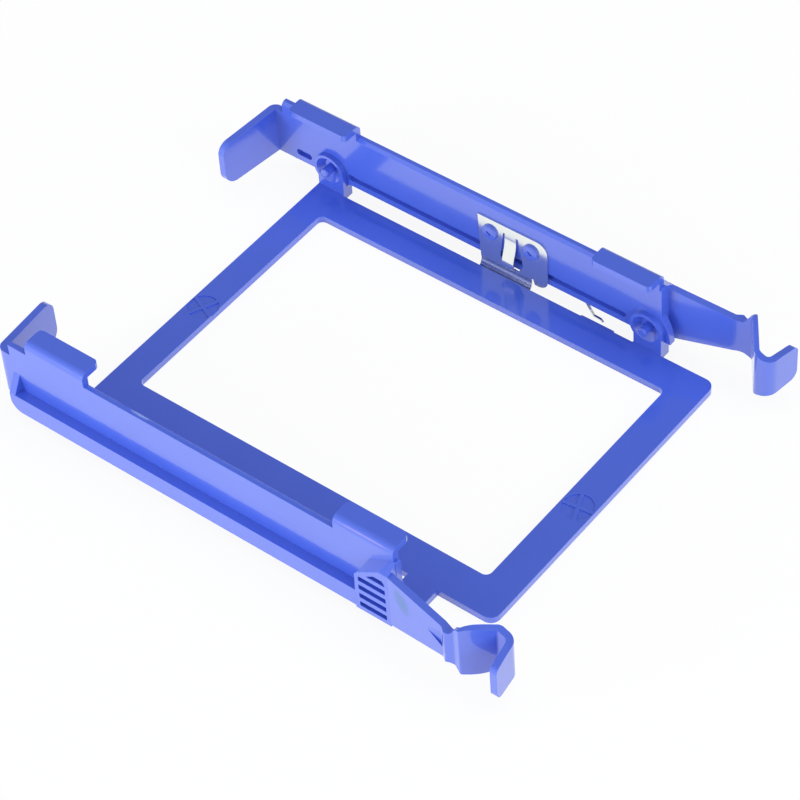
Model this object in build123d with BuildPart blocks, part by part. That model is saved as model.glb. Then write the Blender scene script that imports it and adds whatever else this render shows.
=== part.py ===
from build123d import *
import os

os.makedirs("parts", exist_ok=True)

# Millimetres. X runs along the rails towards the finger hooks, Y across the
# drive, Z up. The top of the base frame is Z = 0, and the drive's four side
# holes are centred on X = 0, Y = 0.

# The 3.5 inch drive that the caddy holds.
drive_width = 101.6
hole_pitch = 101.6
hole_height = 6.35
side_clear = 0.2

# Drive ears: a dished face with a pin that enters the drive's side hole.
boss_face = drive_width / 2 + side_clear
boss_proud = 1.5
boss_r = 4.8
dish_r, dish_floor_r, dish_depth = 3.9, 2.2, 1.7
pin_r, pin_reach, pin_round = 1.3, 1.6, 0.4
foot_left, foot_right, front_foot_right = 3.6, 4.8, 5.2
web_r = 1.8

# Rail wall, drawn on the +Y side and mirrored for the other.
wall_in = boss_face + boss_proud
wall_t = 1.95
wall_out = wall_in + wall_t
wall_bottom, wall_top = 3.15, 21.3
wall_left, wall_right = -66.4, 54.7
top_round = 0.8

# Base frame, a flat ring under the drive.
ring_t = 2.0
ring_left, ring_right = -54.35, 72.45
ring_front = 8.9 - drive_width / 2
ring_back = drive_width / 2 - 0.2
bar_left, bar_right, bar_front, bar_back = 8.05, 9.15, 10.1, 9.0
ring_corner, window_corner = 2.8, 1.8

# Runner strip along the foot of the rail.
strip_reach = 2.75
strip_out = wall_out + strip_reach
strip_bottom, strip_top = 1.2, 6.8
strip_t = 1.7
strip_left = -65.9
end_rib_t, end_rib_top, strip_corner = 1.9, 12.0, 3.6
groove_low, groove_high, groove_depth = 5.0, 7.0, 1.3

# Lips at both ends of the rail.
lip_spans = ((-60.4, -41.4), (36.2, 54.0))
lip_top = 25.1
lip_t = 1.9
lip_length = 4.4
lip_bend, lip_corner = 1.9, 1.3

# End tab behind the drive, lower and rounded at its free end.
tab_t = 1.9
tab_top, tab_drop = 17.7, 1.0
tab_root_x, tab_splay, tab_length = -68.8, 2.4, 19.0
tab_corner, tab_tip_upper, tab_tip_lower = 2.4, 3.4, 4.0

# Finger grip with its louvres.
grip_left = 44.0
grip_proud = 0.4
grip_face = strip_out + grip_proud
louvre_low, louvre_pitch, louvre_high, louvre_deep = 2.6, 3.05, 1.6, 2.2

# Flexible arm and finger hook, measured from where the arm leaves the grip.
arm_x = wall_right - 0.1
arm_t = 1.9
arm_run, arm_out = 17.2, 2.45
hook_floor = 2.0
hook_in, hook_out = 4.15, 4.3
hook_bend_in, hook_bend_low, hook_bend_out = 1.0, 1.8, 3.2

# Gate marks on the two short bars, and the bump on the back edge.
mark_r, mark_depth, mark_rib = 4.2, 0.35, 0.9
mark_spots = ((ring_left + 4.25, -2.1, (-23, 64)), (ring_right - 4.45, -1.8, (7, -69)))
bump_left, bump_right, bump_out = 31.1, 41.5, 0.4

# Grounding clip, pressed from spring sheet and staked to the back rail.
sheet_t = 0.4
clip_face = wall_in - sheet_t
clip_left, clip_right = -2.0, 19.9
clip_foot, clip_top = 0.9, 16.7
apron_right = 14.8
stake_x, stake_z = (1.9, 14.8), 12.2
stake_r, stake_clear = 1.2, 0.15
head_r, head_t = 2.4, 0.8
tongue_x, tongue_w = 8.3, 3.6
leaf_clear, finger_w = 0.4, 0.6
leaf_in = wall_in + leaf_clear
leaf_out = wall_out - 0.25

# Side views look along +Y, so a negative extrusion goes outwards.
inner_plane = Plane.XZ.offset(-wall_in)
outer_plane = Plane.XZ.offset(-strip_out)
face_plane = Plane.XZ.offset(-boss_face)
boss_spots = [(x, hole_height) for x in (-hole_pitch / 2, hole_pitch / 2)]
stake_spots = [(x, stake_z) for x in stake_x]


with BuildPart() as tab:
    # Plan of the corner and of the tab, which splays a little backwards.
    tab_tip_x, tab_tip_y = tab_root_x - tab_splay, wall_in - tab_length
    with BuildSketch(Plane.XY.offset(wall_bottom)):
        with BuildLine():
            Polyline(
                (-64, wall_in), (-64, wall_out), (tab_root_x - tab_t, wall_out),
                (tab_tip_x - tab_t, tab_tip_y), (tab_tip_x, tab_tip_y),
                (tab_root_x, wall_in), close=True,
            )
        make_face()
        fillet(vertices().sort_by(Axis.X)[2:3], tab_corner)
    extrude(amount=tab_top - wall_bottom)
    # The top falls towards the free end, which is rounded above and below.
    with BuildSketch(Plane.YZ.offset(tab_tip_x - tab_t)):
        with BuildLine():
            Polyline(
                (wall_in, tab_top), (tab_tip_y, tab_top - tab_drop), (tab_tip_y, tab_top),
                close=True,
            )
        make_face()
    extrude(amount=tab_t + tab_splay + 1, mode=Mode.SUBTRACT)
    for pick, radius in ((-1, tab_tip_upper), (0, tab_tip_lower)):
        tip = edges().filter_by(lambda e: e.center().Y < tab_tip_y + 0.5)
        fillet(tip.filter_by(Plane.XY).sort_by(Axis.Z)[pick], radius)

with BuildPart() as arm:
    # Plan of the arm and its hook: a ridge and a valley where they meet, then a
    # trough for the finger that ends in a plate.
    with BuildSketch(Plane((arm_x, grip_face, 0))):
        with BuildLine():
            Polyline(
                (-1, 0), (0, 0), (arm_run, arm_out), (18.7, 3.6), (20.9, 2.7), (22.8, 3.3),
                (28.4, -hook_in), (31.1, -hook_in), (32.25, hook_out),
                (32.25 + arm_t, hook_out), (30.8 + arm_t, -hook_in - arm_t),
                (28.15, -hook_in - arm_t), (22.3, 1.95), (arm_run, arm_out - arm_t),
                (0, -arm_t), (-1, -arm_t), close=True,
            )
        make_face()
        outside = vertices().group_by(Axis.Y)[0].sort_by(Axis.X)
        fillet(outside[0], hook_bend_low)
        fillet(vertices().group_by(Axis.Y)[0].sort_by(Axis.X)[-1], hook_bend_out)
        fillet(vertices().filter_by(lambda v: abs(v.Y + hook_in) < 0.01), hook_bend_in)
        fillet(vertices().filter_by(lambda v: arm_run + 1 < v.X < 23 and v.Y > 1), 0.5)
    extrude(amount=wall_top)
    # Side view: the arm tapers, and the hook rises from it and drops below it.
    with BuildSketch(Plane((arm_x, 0, 0), x_dir=(1, 0, 0), z_dir=(0, -1, 0))):
        with BuildLine():
            Polyline((16.4, 5.2), (-1.2, 1.6), (-1.2, 19.2), (19.6, 16.0))
            Spline(
                (19.6, 16.0), (21.0, 17.7), (22.8, 19.0), (25.2, 18.2), (29.4, 15.4),
                (32.2, 14.7), tangents=((1, 0.2), (1, -0.2)),
            )
            Polyline((32.2, 14.7), (36, 14.0), (36, hook_floor + 1), (33, hook_floor + 1))
            Spline(
                (33, hook_floor + 1), (25.4, hook_floor), (23.5, 3.0), (20.9, 5.0), (16.4, 5.2),
                tangents=((-1, -0.1), (-1, -0.2)),
            )
        make_face()
    extrude(amount=grip_face + 12, both=True, mode=Mode.INTERSECT)
    # The plate's top falls towards its free end, whose corners are rounded.
    with BuildSketch(Plane((arm_x + 31, grip_face, 0), x_dir=(0, 1, 0), z_dir=(1, 0, 0))):
        with BuildLine():
            Polyline((-3.4, 14.8), (hook_out, 13.6), (hook_out + 1, 13.6), (hook_out + 1, 20),
                     (-3.4, 20), close=True)
        make_face()
    extrude(amount=5, mode=Mode.SUBTRACT)
    for pick, radius in ((-1, 1.7), (0, 2.4)):
        tip = edges().filter_by(lambda e: e.center().Y > grip_face + hook_out - 0.1)
        fillet(tip.filter_by(Plane.XY).sort_by(Axis.Z)[pick], radius)
    # Shallow three-cornered sink in the outer face, just before the hook.
    with BuildSketch(Plane((arm_x, grip_face + 4, 0), x_dir=(1, 0, 0), z_dir=(0, -1, 0))):
        with BuildLine():
            Polyline((11.8, 11.8), (16.9, 13.9), (17.2, 8.8), close=True)
        make_face()
    extrude(amount=2.2, mode=Mode.SUBTRACT)

with BuildPart() as grip:
    # Block at the arm's root, whose top slopes from the rail wall out to its face.
    outline = ((0, 1.2), (0, 11.8), (3.0, 17.8), (9.0, wall_top), (10.6, wall_top), (10.6, 1.2))
    inset = ((0.1, 1.2), (0.3, 13.4), (1.1, 14.5), (8.0, 19.2), (10.6, 19.0), (10.6, 1.2))
    for y, corners in ((wall_out - 0.3, outline), (grip_face, inset)):
        with BuildSketch(Plane((grip_left, y, 0), x_dir=(1, 0, 0), z_dir=(0, -1, 0))):
            with BuildLine():
                Polyline(*corners, close=True)
            make_face()
    loft(ruled=True)
    # Louvres: five slots in a window whose top follows the block.
    with BuildSketch(Plane((grip_left, grip_face, 0), x_dir=(1, 0, 0), z_dir=(0, -1, 0))):
        with BuildLine():
            Polyline(
                (1.4, louvre_low), (1.4, 13.1), (7.2, 17.1), (8.6, 16.8), (9.4, 15.2),
                (9.4, louvre_low), close=True,
            )
        make_face()
        with Locations((5, louvre_low + 2 * louvre_pitch + louvre_high / 2)):
            with GridLocations(0, louvre_pitch, 1, 5):
                Rectangle(11, louvre_high, mode=Mode.INTERSECT)
    extrude(amount=louvre_deep, mode=Mode.SUBTRACT)

with BuildPart() as strip:
    # A skirt that hangs from a ledge, closed by a sloping rib at its back end.
    with BuildSketch(Plane.YZ.offset(strip_left)):
        with BuildLine():
            Polyline(
                (wall_in + 1, strip_top - strip_t), (wall_in + 1, strip_top),
                (strip_out, strip_top), (strip_out, strip_bottom),
                (strip_out - strip_t, strip_bottom),
                (strip_out - strip_t, strip_top - strip_t), close=True,
            )
        make_face()
    extrude(amount=grip_left + 1 - strip_left)
    with BuildSketch(Plane.YZ.offset(strip_left)):
        with BuildLine():
            Polyline(
                (wall_in + 1, strip_bottom), (wall_in + 1, end_rib_top), (wall_out, end_rib_top),
                (strip_out, strip_top), (strip_out, strip_bottom), close=True,
            )
        make_face()
    extrude(amount=end_rib_t)
    # The lower back corner is rounded in side view.
    with BuildSketch(outer_plane):
        with BuildLine():
            Polyline(
                (strip_left, strip_bottom), (60, strip_bottom), (60, 15),
                (strip_left, 15), close=True,
            )
        make_face()
        fillet(vertices().group_by(Axis.X)[0].sort_by(Axis.Y)[0], strip_corner)
    extrude(amount=8, mode=Mode.INTERSECT)

with BuildPart() as rail:
    # Main wall, flaring out around the ear next to the grip.
    with BuildSketch(inner_plane):
        with BuildLine():
            Polyline(
                (wall_right, 11.4), (wall_right, wall_top), (wall_left, wall_top),
                (wall_left, tab_top), (wall_left - 1.6, tab_top),
                (wall_left - 1.6, wall_bottom), (wall_right + 2.7, wall_bottom),
            )
            ThreePointArc(
                (wall_right + 2.7, wall_bottom), (wall_right + 1.9, 7.4), (wall_right, 11.4),
            )
        make_face()
    extrude(amount=-wall_t)
    inner_top = edges().filter_by(Axis.X).filter_by(
        lambda e: abs(e.center().Z - wall_top) < 0.01 and e.center().Y < wall_in + 0.1
    )
    chamfer(inner_top, top_round)
    add(tab.part)
    add(strip.part)
    add(grip.part)
    add(arm.part)

    # Lips, bent inwards over the drive.
    for left, right in lip_spans:
        with BuildSketch(Plane.YZ.offset(left)):
            with BuildLine():
                Polyline(
                    (wall_in, wall_top - 2), (wall_out, wall_top - 2), (wall_out, lip_top),
                    (wall_in - lip_length, lip_top), (wall_in - lip_length, lip_top - lip_t),
                    (wall_in, lip_top - lip_t), close=True,
                )
            make_face()
            fillet(vertices().group_by(Axis.X)[-1].sort_by(Axis.Y)[-1], lip_bend)
        extrude(amount=right - left)
        corners = edges().filter_by(Axis.Z).filter_by(
            lambda e: abs(e.center().Y - wall_in + lip_length) < 0.01
            and left - 0.1 < e.center().X < right + 0.1
        )
        fillet(corners, lip_corner)

    # Drive ears, with feet down to the frame's underside.
    with BuildSketch(face_plane):
        with Locations(*boss_spots):
            Circle(boss_r)
            with Locations(((foot_right - foot_left) / 2, -(hole_height + ring_t) / 2)):
                Rectangle(foot_left + foot_right, hole_height + ring_t)
    extrude(amount=boss_face - wall_out)
    # The rail's foot curves down into the ear.
    with BuildSketch(inner_plane):
        for side, foot in ((-1, foot_right), (1, foot_left)):
            with BuildLine():
                inside = side * (hole_pitch / 2 - foot)
                far = inside - side * web_r
                Polyline((far, wall_bottom), (inside, wall_bottom), (inside, wall_bottom - web_r))
                RadiusArc((inside, wall_bottom - web_r), (far, wall_bottom), -side * web_r)
            make_face()
    extrude(amount=-wall_t)

    # Long groove and the short slot in line with it, shallower than the wall.
    with BuildSketch(inner_plane):
        for left, right in ((-45.5, 44.0), (-62.6, -57.5)):
            with Locations(((left + right) / 2, (groove_low + groove_high) / 2)):
                SlotOverall(right - left, groove_high - groove_low)
    extrude(amount=-groove_depth, mode=Mode.SUBTRACT)

    # Dish in each ear, with the drive pin standing in it.
    with Locations(*(Plane((x, boss_face, z), z_dir=(0, 1, 0)) for x, z in boss_spots)):
        Cone(
            dish_r, dish_floor_r, dish_depth, mode=Mode.SUBTRACT,
            align=(Align.CENTER, Align.CENTER, Align.MIN),
        )
    pin_tip = boss_face - pin_reach
    with BuildSketch(Plane.XZ.offset(-pin_tip)):
        with Locations(*boss_spots):
            Circle(pin_r)
    extrude(amount=pin_tip - boss_face - dish_depth - 0.1)
    tips = edges().filter_by(GeomType.CIRCLE).filter_by(
        lambda e: abs(e.center().Y - pin_tip) < 0.01
    )
    fillet(tips, pin_round)

with BuildPart() as moulding:
    # Base frame, with the feet under the ears and the bump on its back edge.
    with BuildSketch(Plane.XY.offset(-ring_t)):
        with Locations(((ring_left + ring_right) / 2, (ring_front + ring_back) / 2)):
            Rectangle(ring_right - ring_left, ring_back - ring_front)
        fillet(vertices().group_by(Axis.X)[-1], ring_corner)
        with Locations(((bump_left + bump_right) / 2, ring_back)):
            SlotOverall(bump_right - bump_left, 2 * bump_out)
        for x, _ in boss_spots:
            for start, end, right in (
                (ring_back, wall_out, foot_right), (-wall_out, ring_front, front_foot_right),
            ):
                with Locations((x + (right - foot_left) / 2, (start + end) / 2)):
                    Rectangle(foot_left + right, end - start)
        window_left, window_right = ring_left + bar_left, ring_right - bar_right
        window_front, window_back = ring_front + bar_front, ring_back - bar_back
        with Locations(((window_left + window_right) / 2, (window_front + window_back) / 2)):
            RectangleRounded(
                window_right - window_left, window_back - window_front, window_corner,
                mode=Mode.SUBTRACT,
            )
    extrude(amount=ring_t)

    # Gate marks: shallow discs crossed by two ribs and cut off by the bar's edges.
    with BuildSketch(Plane.XY):
        for x, y, turns in mark_spots:
            with Locations((x, y)):
                Circle(mark_r)
                for turn in turns:
                    Rectangle(2 * mark_r, mark_rib, rotation=turn, mode=Mode.SUBTRACT)
    extrude(amount=-mark_depth, mode=Mode.SUBTRACT)

    add(rail.part)
    add(mirror(rail.part, about=Plane.XZ))

    # Studs through the clip, melted over into round heads with a dimple.
    with BuildSketch(inner_plane):
        with Locations(*stake_spots):
            Circle(stake_r)
    extrude(amount=sheet_t)
    with BuildSketch(Plane.XZ.offset(-clip_face)):
        with Locations(*stake_spots):
            Circle(head_r)
    extrude(amount=head_t)
    rims = edges().filter_by(GeomType.CIRCLE).filter_by(
        lambda e: abs(e.center().Y - (clip_face - head_t)) < 0.01
    )
    fillet(rims, 0.5)
    with BuildSketch(Plane.XZ.offset(head_t - clip_face)):
        with Locations(*stake_spots):
            SlotOverall(1.6, 0.6, rotation=-40)
    extrude(amount=-0.5, mode=Mode.SUBTRACT)

with BuildPart() as ground_clip:
    # Flat plate with holes for the studs and a window around the tongue.
    with BuildSketch(Plane.XZ.offset(-clip_face)):
        with BuildLine():
            Polyline(
                (clip_left, clip_top), (clip_right, clip_top), (clip_right, clip_foot),
                (15.7, clip_foot), (15.2, 2.6), (apron_right, 2.6), (apron_right, 1.8),
                (-1.4, 1.8), close=True,
            )
        make_face()
        fillet(vertices().group_by(Axis.X)[-1], 3.2)
        with BuildLine():
            Polyline(
                (6.1, 14.2), (6.6, 14.2), (6.6, 13), (10.1, 13), (10.1, 14.2), (10.7, 14.2),
                (12.1, 5), (10.2, 2.3), (6.6, 2.3), (4.9, 5), close=True,
            )
        make_face(mode=Mode.SUBTRACT)
        with Locations(*stake_spots):
            Circle(stake_r + stake_clear, mode=Mode.SUBTRACT)
    extrude(amount=-sheet_t)

    # Apron that leans in behind the frame's edge.
    with BuildSketch(Plane.YZ.offset(-1.3)):
        with BuildLine():
            Line((wall_in - sheet_t / 2, 2.6), (wall_in - sheet_t / 2, 1.6))
            TangentArc(
                (wall_in - sheet_t / 2, 1.6), (wall_in - 1.3, -1.0), tangent=(0, -1),
            )
        trace(line_width=sheet_t)
    extrude(amount=apron_right + 1.3)

    # Sprung tongue, bowed towards the drive and curled back at its end.
    with BuildSketch(Plane.YZ.offset(tongue_x)):
        with BuildLine():
            Line((wall_in - sheet_t / 2, 13.6), (wall_in - sheet_t / 2, 12.6))
            Spline(
                (wall_in - sheet_t / 2, 12.6), (wall_in - 1.0, 8.4), (wall_in - 1.8, 4.9),
                (wall_in - 1.5, 3.6), (wall_in - 0.5, 3.1),
                tangents=((0, -1), (1, 0)),
            )
        trace(line_width=sheet_t)
    extrude(amount=tongue_w / 2, both=True)

    # Leaf folded under the rail's foot, running to the contact finger.
    with BuildSketch(Plane.XY.offset(wall_bottom - sheet_t)):
        with Locations(((16.4 + 19) / 2, (clip_face + leaf_out) / 2)):
            Rectangle(19 - 16.4, leaf_out - clip_face)
        with Locations(((16.4 + 30) / 2, (leaf_in + leaf_out) / 2)):
            Rectangle(30 - 16.4, leaf_out - leaf_in)
    extrude(amount=sheet_t)
    with BuildSketch(Plane.XZ.offset(-leaf_in - finger_w)):
        with BuildLine():
            path = Polyline(
                (29.5, wall_bottom - sheet_t / 2), (31.1, wall_bottom - sheet_t / 2),
                (33.5, -0.8), (35.6, -0.95), (36.3, -1.6),
            )
            fillet(path.vertices().sort_by(Axis.X)[1:4], 0.3)
        trace(line_width=sheet_t)
    extrude(amount=finger_w)

for name, piece in (("moulding", moulding), ("ground_clip", ground_clip)):
    piece.part.label = name
    export_step(piece.part, f"parts/{name}.step")
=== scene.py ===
"""Looks of a tool-free hard drive caddy: one blue moulding with a spring-steel grounding clip."""

import logging
import math
from dataclasses import dataclass
from enum import Enum
from typing import Any

import bpy
from mathutils import Matrix, Vector


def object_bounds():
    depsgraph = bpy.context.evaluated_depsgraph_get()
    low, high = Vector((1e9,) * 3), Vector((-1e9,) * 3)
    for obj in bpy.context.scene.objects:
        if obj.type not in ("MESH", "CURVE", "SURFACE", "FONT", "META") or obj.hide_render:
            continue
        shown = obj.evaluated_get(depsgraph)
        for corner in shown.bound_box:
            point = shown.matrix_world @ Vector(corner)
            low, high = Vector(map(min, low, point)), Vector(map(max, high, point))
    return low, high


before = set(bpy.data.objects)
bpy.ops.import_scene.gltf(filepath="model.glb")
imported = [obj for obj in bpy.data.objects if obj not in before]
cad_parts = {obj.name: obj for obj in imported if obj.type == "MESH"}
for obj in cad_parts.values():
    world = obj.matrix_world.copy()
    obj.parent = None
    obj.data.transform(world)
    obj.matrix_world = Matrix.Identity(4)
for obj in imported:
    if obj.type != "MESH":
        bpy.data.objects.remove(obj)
CAD_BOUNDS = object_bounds()

MM = 0.001
log = logging.getLogger("caddy")


def linear(hex_colour: str) -> tuple[float, float, float, float]:
    """Turns an sRGB hex colour into the linear colour that shaders take.

    Args:
        hex_colour: Colour as "#RRGGBB".

    Returns:
        Linear red, green, blue and an alpha of 1.
    """
    channels = [int(hex_colour[i:i + 2], 16) / 255 for i in (1, 3, 5)]
    values = [c / 12.92 if c <= 0.04045 else ((c + 0.055) / 1.055) ** 2.4 for c in channels]
    return (values[0], values[1], values[2], 1.0)


def add_node(tree: bpy.types.NodeTree, kind: str, settings: dict[str, Any] | None = None,
             **inputs: Any) -> bpy.types.Node:
    """Adds one node with its settings, its input values and its links.

    Args:
        tree: Node tree that the node goes into.
        kind: Blender's identifier of the node type.
        settings: Attributes to set on the node itself.
        inputs: Value or output socket for each input. The key is the input's name with
            underscores for spaces, or "in" and the input's number.

    Returns:
        The new node.
    """
    node = tree.nodes.new(kind)
    for name, value in (settings or {}).items():
        setattr(node, name, value)
    for name, value in inputs.items():
        numbered = name.startswith("in") and name[2:].isdigit()
        socket = node.inputs[int(name[2:]) if numbered else name.replace("_", " ")]
        if isinstance(value, bpy.types.NodeSocket):
            tree.links.new(value, socket)
        else:
            socket.default_value = value
    return node


def new_material(name: str) -> tuple[bpy.types.Material, bpy.types.NodeTree]:
    """Makes an empty node material.

    Args:
        name: Name of the material.

    Returns:
        The material and its node tree.
    """
    material = bpy.data.materials.new(name)
    material.use_nodes = True
    material.node_tree.nodes.clear()
    return material, material.node_tree


@dataclass(frozen=True)
class SurfaceMark:
    """A coloured mark at one place of the object, such as a scuff or a painted highlight.

    Attributes:
        centre_mm: Middle of the mark in the row frame.
        reach_mm: Half its size along each of its own axes.
        lean: Degrees that the mark is turned about the row's Y axis.
        colour: What the plastic looks like inside the mark.
        strength: How much of it covers the plastic, from 0 to 1.
    """

    centre_mm: tuple[float, float, float]
    reach_mm: tuple[float, float, float]
    lean: float
    colour: str
    strength: float


@dataclass(frozen=True)
class MouldedPlastic:
    """Glossy injection-moulded ABS, dyed blue through and through.

    The steel tool was polished, so the skin is smooth enough to mirror the table, with a
    faint waviness where the melt shrank and hair-fine handling scratches.

    Attributes:
        name: Name of the material.
        body: Colour of the dyed plastic.
        deep: The same colour where the dye runs thicker.
        edge: Painted highlight colour that a rounded edge goes towards, where its rounding
            catches light.
        edge_share: How much of the painted highlight a rounded edge takes.
        edge_mm: Radius of the rounding at an edge.
        edge_turn: Cosines of the turn of the surface where an edge starts and is full.
        roughness: Roughness of the plastic under its skin.
        ior: Refractive index of the plastic.
        specular: Its specular level.
        skin: How much of the polished skin is left.
        skin_rough: Roughness of the skin.
        skin_ior: Refractive index of the skin.
        rubbed_rough: Roughness that rubbing adds.
        rubbed_specular: Specular level where it is rubbed.
        rubbed_skin: How much of the skin is left where it is rubbed.
        ripple_mm: Spacing of the waviness.
        ripple_deep_mm: Height of the waviness.
        grain_mm: Spacing of the orange-peel grain.
        grain_deep_mm: Height of the grain.
        scratch_mm: Length of a handling scratch.
        scratch_long: How many times longer than wide a scratch is.
        scratch_band: Noise levels where a scratch starts and is full.
        scratch_rough: Roughness that a scratch adds.
        rub_mm: Spacing of the patches inside a mark.
        rub_band: Levels of the patches where a mark starts and is full.
        marks: Grime on the arm, a paler matt band along the rail's top edge that is a painted
            highlight, a pale spot on that edge, and a pale lavender line on the bend of a lip.
    """

    name: str = "injection_moulded_abs"
    body: str = "#4463D7"
    deep: str = "#3E5CCF"
    edge: str = "#6F8BFF"
    edge_share: float = 0.45
    edge_mm: float = 0.3
    edge_turn: tuple[float, float] = (0.97, 0.72)
    roughness: float = 0.36
    ior: float = 1.54
    specular: float = 0.5
    skin: float = 1.0
    skin_rough: float = 0.1
    skin_ior: float = 1.7
    rubbed_rough: float = 0.3
    rubbed_specular: float = 0.1
    rubbed_skin: float = 0.05
    ripple_mm: float = 9.0
    ripple_deep_mm: float = 0.1
    grain_mm: float = 0.35
    grain_deep_mm: float = 0.006
    scratch_mm: float = 2.4
    scratch_long: float = 14.0
    scratch_band: tuple[float, float] = (0.66, 0.72)
    scratch_rough: float = 0.1
    rub_mm: float = 1.4
    rub_band: tuple[float, float] = (0.03, 0.24)
    marks: tuple[SurfaceMark, ...] = (
        SurfaceMark((59.2, -57.8, 13.4), (2.8, 1.5, 5.4), -27.0, "#6C86B4", 0.8),
        # Painted highlight: a slightly paler, matt band along the rail's top edge stands in for
        # the sheen on its rounding.
        SurfaceMark((-3.0, -52.75, 21.05), (160.0, 1.1, 1.1), 0.0, "#4E6ADB", 0.95),
        # A pale spot on the rail's top edge.
        SurfaceMark((-23.9, -52.9, 21.3), (4.0, 1.1, 1.0), 0.0, "#9DB4F4", 0.7),
        # A pale lavender line on the bend of a lip.
        SurfaceMark((45.0, -54.2, 24.3), (10.0, 0.4, 0.35), 0.0, "#A79AE4", 0.4),
    )

    def build(self) -> bpy.types.Material:
        """Builds the material.

        Returns:
            The finished material.
        """
        material, tree = new_material(self.name)
        place = add_node(tree, "ShaderNodeTexCoord").outputs["Object"]
        # Slow drift of the dye along the flow of the melt.
        flow = add_node(tree, "ShaderNodeTexNoise", None, Vector=place,
                        Scale=1 / (self.ripple_mm * 2 * MM), Detail=2.0, Roughness=0.4)
        dye = add_node(tree, "ShaderNodeMix", {"data_type": "RGBA"}, in0=flow.outputs["Fac"],
                       in6=linear(self.deep), in7=linear(self.body)).outputs[2]
        # Painted highlight: rounded edges get a paler colour that stands in for the light they
        # catch.
        soft = add_node(tree, "ShaderNodeBevel", {"samples": 6}, Radius=self.edge_mm * MM)
        flat = add_node(tree, "ShaderNodeNewGeometry").outputs["Normal"]
        facing = add_node(tree, "ShaderNodeVectorMath", {"operation": "DOT_PRODUCT"},
                          in0=soft.outputs[0], in1=flat).outputs["Value"]
        rim = add_node(tree, "ShaderNodeMapRange", None, Value=facing, in1=self.edge_turn[0],
                       in2=self.edge_turn[1], in3=0.0, in4=1.0).outputs["Result"]
        painted_highlight = add_node(tree, "ShaderNodeMath", {"operation": "MULTIPLY"}, in0=rim,
                         in1=self.edge_share).outputs[0]
        colour = add_node(tree, "ShaderNodeMix", {"data_type": "RGBA"}, in0=painted_highlight, in6=dye,
                          in7=linear(self.edge)).outputs[2]
        matt = rim
        for mark in self.marks:
            cover = self.mark_cover(tree, place, mark)
            colour = add_node(tree, "ShaderNodeMix", {"data_type": "RGBA"}, in0=cover,
                              in6=colour, in7=linear(mark.colour)).outputs[2]
            matt = add_node(tree, "ShaderNodeMath", {"operation": "MAXIMUM"}, in0=matt,
                            in1=cover).outputs[0]
        # Handling scratches: stretched noise, thresholded to thin lines.
        stretched = add_node(tree, "ShaderNodeMapping", None, Vector=place,
                             Rotation=(0.4, 0.2, 0.7),
                             Scale=(1.0, self.scratch_long, self.scratch_long)).outputs[0]
        lines = add_node(tree, "ShaderNodeTexNoise", None, Vector=stretched,
                         Scale=1 / (self.scratch_mm * self.scratch_long * MM), Detail=3.0,
                         Roughness=0.6)
        scratch = add_node(tree, "ShaderNodeMapRange", None, Value=lines.outputs["Fac"],
                           in1=self.scratch_band[0], in2=self.scratch_band[1], in3=0.0,
                           in4=self.scratch_rough).outputs["Result"]
        scratched = add_node(tree, "ShaderNodeMath", {"operation": "ADD"}, in0=scratch,
                             in1=self.roughness).outputs[0]
        # Handling has rubbed the edges and the scuffs dull.
        rough = add_node(tree, "ShaderNodeMath", {"operation": "MULTIPLY_ADD"}, in0=matt,
                         in1=self.rubbed_rough, in2=scratched).outputs[0]
        level = add_node(tree, "ShaderNodeMapRange", None, Value=matt, in3=self.specular,
                         in4=self.rubbed_specular).outputs["Result"]
        shine = add_node(tree, "ShaderNodeMapRange", None, Value=matt, in3=self.skin,
                         in4=self.rubbed_skin).outputs["Result"]
        # Sink waviness and the finest orange-peel grain.
        ripple = add_node(tree, "ShaderNodeTexNoise", None, Vector=place,
                          Scale=1 / (self.ripple_mm * MM), Detail=1.0)
        grain = add_node(tree, "ShaderNodeTexNoise", None, Vector=place,
                         Scale=1 / (self.grain_mm * MM), Detail=1.0)
        wavy = add_node(tree, "ShaderNodeBump", None, Strength=0.5,
                        Distance=self.ripple_deep_mm * MM, Height=ripple.outputs["Fac"])
        grained = add_node(tree, "ShaderNodeBump", None, Strength=0.25,
                           Distance=self.grain_deep_mm * MM, Height=grain.outputs["Fac"],
                           Normal=wavy.outputs[0])
        shader = add_node(tree, "ShaderNodeBsdfPrincipled", None, Base_Color=colour,
                          Roughness=rough, IOR=self.ior, Normal=grained.outputs[0],
                          Specular_IOR_Level=level, Coat_Weight=shine,
                          Coat_Roughness=self.skin_rough, Coat_IOR=self.skin_ior,
                          Coat_Normal=wavy.outputs[0])
        add_node(tree, "ShaderNodeOutputMaterial", None, Surface=shader.outputs[0])
        return material

    def mark_cover(self, tree: bpy.types.NodeTree, place: bpy.types.NodeSocket,
              mark: SurfaceMark) -> bpy.types.NodeSocket:
        """Finds how much of each spot one mark covers.

        Args:
            tree: Node tree of the material.
            place: Object coordinates.
            mark: The mark.

        Returns:
            The covered share, from 0 to the mark's strength.
        """
        shifted = add_node(tree, "ShaderNodeMapping", {"vector_type": "TEXTURE"}, Vector=place,
                           Location=[c * MM for c in mark.centre_mm],
                           Rotation=(0.0, math.radians(mark.lean), 0.0),
                           Scale=[r * MM for r in mark.reach_mm]).outputs[0]
        ball = add_node(tree, "ShaderNodeTexGradient", {"gradient_type": "SPHERICAL"},
                        Vector=shifted).outputs["Fac"]
        rubbed = add_node(tree, "ShaderNodeTexNoise", None, Vector=place,
                          Scale=1 / (self.rub_mm * MM), Detail=3.0,
                          Roughness=0.7).outputs["Fac"]
        ragged = add_node(tree, "ShaderNodeMath", {"operation": "MULTIPLY"}, in0=ball,
                          in1=rubbed).outputs[0]
        return add_node(tree, "ShaderNodeMapRange", None, Value=ragged, in1=self.rub_band[0],
                        in2=self.rub_band[1], in3=0.0, in4=mark.strength).outputs["Result"]


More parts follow.
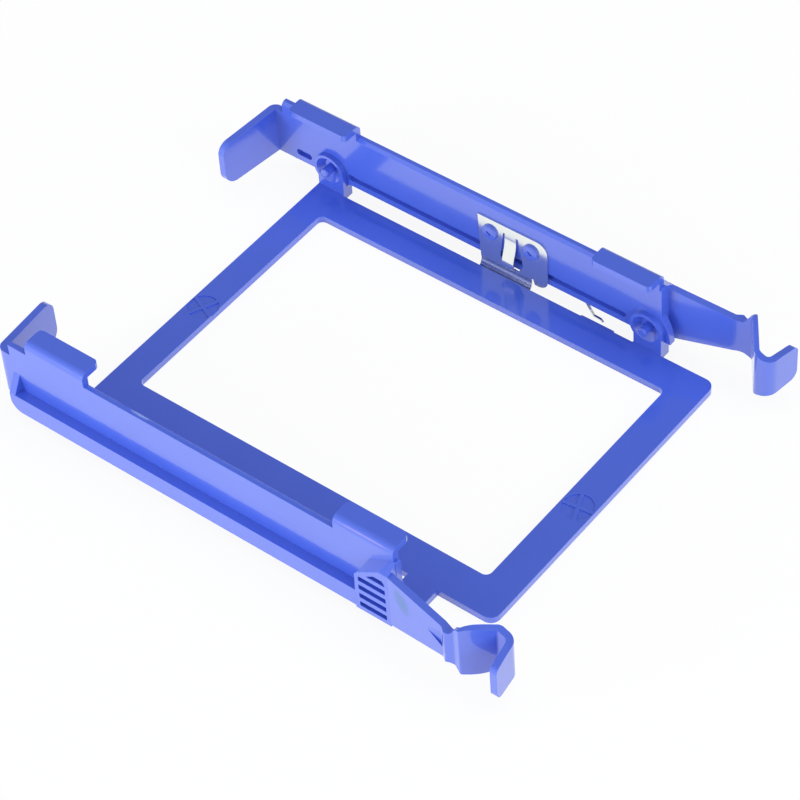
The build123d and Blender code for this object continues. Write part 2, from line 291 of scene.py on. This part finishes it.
@dataclass(frozen=True)
class SpringSteel:
    """Stainless spring sheet, cold rolled bright, stamped and left bare.

    It mirrors its surroundings, softened along the rolling direction by fine parallel lines.

    Attributes:
        name: Name of the material.
        colour: Colour of the bright sheet.
        cut_edge: Darker, bluish grey colour along the sheet's edges.
        edge_mm: Width of a sheared edge's dark line.
        edge_turn: Cosines of the turn of the surface where an edge starts and is full.
        edge_share: How much of the cut edge's colour an edge takes.
        roughness: Roughness of the cleanest sheet.
        smear_rough: Roughness that finger smears add.
        smear_mm: Spacing of the smears.
        line_mm: Spacing of the rolling lines.
        line_deep_mm: Height of the rolling lines.
    """

    name: str = "rolled_stainless_sheet"
    colour: str = "#F0F4F2"
    cut_edge: str = "#3C4A57"
    edge_mm: float = 0.12
    edge_turn: tuple[float, float] = (0.97, 0.75)
    edge_share: float = 0.8
    roughness: float = 0.1
    smear_rough: float = 0.05
    smear_mm: float = 4.0
    line_mm: float = 0.16
    line_deep_mm: float = 0.002

    def build(self) -> bpy.types.Material:
        """Builds the material.

        Returns:
            The finished material.
        """
        material, tree = new_material(self.name)
        place = add_node(tree, "ShaderNodeTexCoord").outputs["Object"]
        # Rolling lines run along the rail.
        rolled = add_node(tree, "ShaderNodeMapping", None, Vector=place,
                          Scale=(0.06, 1.0, 1.0)).outputs[0]
        lines = add_node(tree, "ShaderNodeTexNoise", None, Vector=rolled,
                         Scale=1 / (self.line_mm * MM), Detail=2.0)
        smear = add_node(tree, "ShaderNodeTexNoise", None, Vector=place,
                         Scale=1 / (self.smear_mm * MM), Detail=3.0)
        rough = add_node(tree, "ShaderNodeMapRange", None, Value=smear.outputs["Fac"], in1=0.3,
                         in2=0.7, in3=self.roughness, in4=self.roughness + self.smear_rough)
        # The sheet is darker along its edges.
        soft = add_node(tree, "ShaderNodeBevel", {"samples": 4}, Radius=self.edge_mm * MM)
        flat = add_node(tree, "ShaderNodeNewGeometry").outputs["Normal"]
        facing = add_node(tree, "ShaderNodeVectorMath", {"operation": "DOT_PRODUCT"},
                          in0=soft.outputs[0], in1=flat).outputs["Value"]
        sheared = add_node(tree, "ShaderNodeMapRange", None, Value=facing,
                           in1=self.edge_turn[0], in2=self.edge_turn[1], in3=0.0,
                           in4=self.edge_share).outputs["Result"]
        tone = add_node(tree, "ShaderNodeMix", {"data_type": "RGBA"}, in0=sheared,
                        in6=linear(self.colour), in7=linear(self.cut_edge)).outputs[2]
        ridges = add_node(tree, "ShaderNodeBump", None, Strength=0.1,
                          Distance=self.line_deep_mm * MM, Height=lines.outputs["Fac"],
                          Normal=soft.outputs[0])
        shader = add_node(tree, "ShaderNodeBsdfPrincipled", None, Base_Color=tone,
                          Metallic=1.0, Roughness=rough.outputs["Result"],
                          Normal=ridges.outputs[0])
        add_node(tree, "ShaderNodeOutputMaterial", None, Surface=shader.outputs[0])
        return material


class Finish(Enum):
    """The two finishes on the caddy."""

    MOULDED = MouldedPlastic()
    STEEL = SpringSteel()


@dataclass
class DressedNode:
    """A piece of the frame that keeps its CAD shape and gets its finish here.

    Attributes:
        node: Name of the CAD node.
        finish: Finish of its whole surface.
    """

    node: str
    finish: Finish

    def dress(self) -> None:
        """Puts the finish on the node's whole surface."""
        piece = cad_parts[self.node]
        material = self.finish.value.build()
        for slot in piece.material_slots:
            slot.material = material
        log.info("%s: %s on %d faces", self.node, material.name, len(piece.data.polygons))


@dataclass(frozen=True)
class SoftLamp:
    """A square softbox.

    Attributes:
        name: What it lights.
        place: Where it stands, in metres.
        side: Length of its side, in metres.
        watts: Its power.
    """

    name: str
    place: tuple[float, float, float]
    side: float
    watts: float


@dataclass
class Studio:
    """White table and soft light.

    Attributes:
        table_side: Length of the table's side, in metres.
        table_colour: What the laminate gives back.
        table_white: Share of plain white that rays which show a backdrop see in the table.
        white: Colour of the room, and of what the camera sees behind the table.
        sky_low: Strength of the room at the horizon.
        sky_high: Strength of the room overhead.
        sky_top: Height of a direction from which on the room is at its overhead strength.
        sky_front: Factor on the room in front of the object.
        sky_back: Factor on the room behind the object.
        sky_turn: How far to the front or back a direction has its full factor.
        lamps: The softboxes.
    """

    table_side: float = 6.0
    table_colour: str = "#F7F8FA"
    table_white: float = 0.9
    white: str = "#FFFFFF"
    sky_low: float = 0.9
    sky_high: float = 0.35
    sky_top: float = 0.9
    sky_front: float = 1.3
    sky_back: float = 0.45
    sky_turn: float = 0.6
    lamps: tuple[SoftLamp, ...] = (
        SoftLamp("front_softbox", (-0.45, -0.85, 0.16), 0.35, 5.5),
        SoftLamp("side_softbox", (1.0, -0.1, 0.25), 0.9, 6.5),
        SoftLamp("top_softbox", (0.1, 0.25, 1.3), 1.3, 8.8),
    )

    def build(self) -> None:
        """Builds the table, the sky and the lamps."""
        self.table()
        self.surroundings()
        for lamp in self.lamps:
            self.light(lamp)

    def seen(self, tree: bpy.types.NodeTree) -> bpy.types.NodeSocket:
        """Tells rays that show a backdrop from rays that light the object.

        Args:
            tree: Node tree to add the test to.

        Returns:
            1 for camera, glossy and transmission rays, and 0 for the others.
        """
        ray = add_node(tree, "ShaderNodeLightPath")
        mirrored = add_node(tree, "ShaderNodeMath", {"operation": "MAXIMUM"},
                            in0=ray.outputs["Is Glossy Ray"],
                            in1=ray.outputs["Is Transmission Ray"])
        return add_node(tree, "ShaderNodeMath", {"operation": "MAXIMUM"},
                        in0=ray.outputs["Is Camera Ray"], in1=mirrored.outputs[0]).outputs[0]

    def table(self) -> None:
        """Lays the table under the object's lowest point."""
        floor_z = CAD_BOUNDS[0][2]
        bpy.ops.object.select_all(action="DESELECT")
        bpy.ops.mesh.primitive_plane_add(size=self.table_side, location=(0, 0, 0))
        table = bpy.context.object
        table.name = "table"
        table.data.transform(Matrix.Translation((0, 0, floor_z)))
        material, tree = new_material("matt_white_laminate")
        diffuse = add_node(tree, "ShaderNodeBsdfDiffuse", None, Color=linear(self.table_colour))
        glow = add_node(tree, "ShaderNodeEmission", None, Color=linear(self.white),
                        Strength=1.0)
        share = add_node(tree, "ShaderNodeMath", {"operation": "MULTIPLY"},
                         in0=self.seen(tree), in1=self.table_white).outputs[0]
        mixed = add_node(tree, "ShaderNodeMixShader", None, in0=share, in1=diffuse.outputs[0],
                         in2=glow.outputs[0])
        add_node(tree, "ShaderNodeOutputMaterial", None, Surface=mixed.outputs[0])
        table.data.materials.append(material)

    def surroundings(self) -> None:
        """Fills the room with soft light, brighter near the horizon and towards the front."""
        world = bpy.data.worlds.new("studio_sky")
        bpy.context.scene.world = world
        world.use_nodes = True
        tree = world.node_tree
        tree.nodes.clear()
        way = add_node(tree, "ShaderNodeTexCoord").outputs["Generated"]
        parts = add_node(tree, "ShaderNodeSeparateXYZ", None, Vector=way).outputs
        height = add_node(tree, "ShaderNodeMapRange", None, Value=parts["Z"], in1=0.0,
                          in2=self.sky_top, in3=self.sky_low,
                          in4=self.sky_high).outputs["Result"]
        side = add_node(tree, "ShaderNodeMapRange", None, Value=parts["Y"],
                        in1=-self.sky_turn, in2=self.sky_turn, in3=self.sky_front,
                        in4=self.sky_back).outputs["Result"]
        level = add_node(tree, "ShaderNodeMath", {"operation": "MULTIPLY"}, in0=height,
                         in1=side).outputs[0]
        room = add_node(tree, "ShaderNodeBackground", None, Color=linear(self.white),
                        Strength=level)
        white = add_node(tree, "ShaderNodeBackground", None, Color=linear(self.white),
                         Strength=1.0)
        camera_ray = add_node(tree, "ShaderNodeLightPath").outputs["Is Camera Ray"]
        mixed = add_node(tree, "ShaderNodeMixShader", None, in0=camera_ray,
                         in1=room.outputs[0], in2=white.outputs[0])
        add_node(tree, "ShaderNodeOutputWorld", None, Surface=mixed.outputs[0])

    def light(self, lamp: SoftLamp) -> None:
        """Stands one softbox, turned to the object.

        Args:
            lamp: The softbox.
        """
        data = bpy.data.lights.new(lamp.name, "AREA")
        data.size = lamp.side
        data.energy = lamp.watts
        holder = bpy.data.objects.new(lamp.name, data)
        bpy.context.scene.collection.objects.link(holder)
        # Glossy plastic shows the even room and the table, and no lamp's shape.
        holder.visible_glossy = False
        place = Vector(lamp.place)
        holder.location = place
        holder.rotation_euler = (-place).to_track_quat("-Z", "Y").to_euler()
        log.info("%s: %.1f W", lamp.name, lamp.watts)


@dataclass(frozen=True)
class ReferenceCamera:
    """Camera of the reference view, worked out from the object's own parallel edges.

    Attributes:
        azimuth: Degrees from the front, towards +X.
        elevation: Degrees above the horizon.
        roll: Degrees that the camera leans.
        distance_mm: From the point aimed at.
        aim_mm: Point of the frame's top surface that is aimed at.
        lens_mm: Focal length on a 36 mm wide sensor.
    """

    azimuth: float = 41.155
    elevation: float = 47.226
    roll: float = -4.567
    distance_mm: float = 822.63
    aim_mm: tuple[float, float, float] = (11.344, 1.265, 0.0)
    lens_mm: float = 148.79

    def build(self) -> None:
        """Creates the camera and makes it the scene's."""
        a, e = math.radians(self.azimuth), math.radians(self.elevation)
        back = Vector((math.sin(a) * math.cos(e), -math.cos(a) * math.cos(e), math.sin(e)))
        right = Vector((math.cos(a), math.sin(a), 0))
        turn = Matrix.Rotation(math.radians(self.roll), 3, back)
        right = turn @ right
        up = back.cross(right)
        data = bpy.data.cameras.new("reference_camera")
        data.lens = self.lens_mm
        data.sensor_width = 36
        data.clip_start = 0.01
        camera = bpy.data.objects.new("reference_camera", data)
        bpy.context.scene.collection.objects.link(camera)
        place = (Vector(self.aim_mm) + back * self.distance_mm) * MM
        camera.matrix_world = Matrix.LocRotScale(
            place, Matrix((right, up, back)).transposed().to_quaternion(), None)
        bpy.context.scene.camera = camera


def main() -> None:
    """Dresses the caddy, lights it and sets up the camera."""
    logging.basicConfig(level=logging.INFO, format="%(name)s: %(message)s")
    for piece in (DressedNode("moulding", Finish.MOULDED),
                  DressedNode("ground_clip", Finish.STEEL)):
        piece.dress()
    Studio().build()
    ReferenceCamera().build()
    bpy.context.scene.view_settings.view_transform = "Standard"


if __name__ == "__main__":
    main()
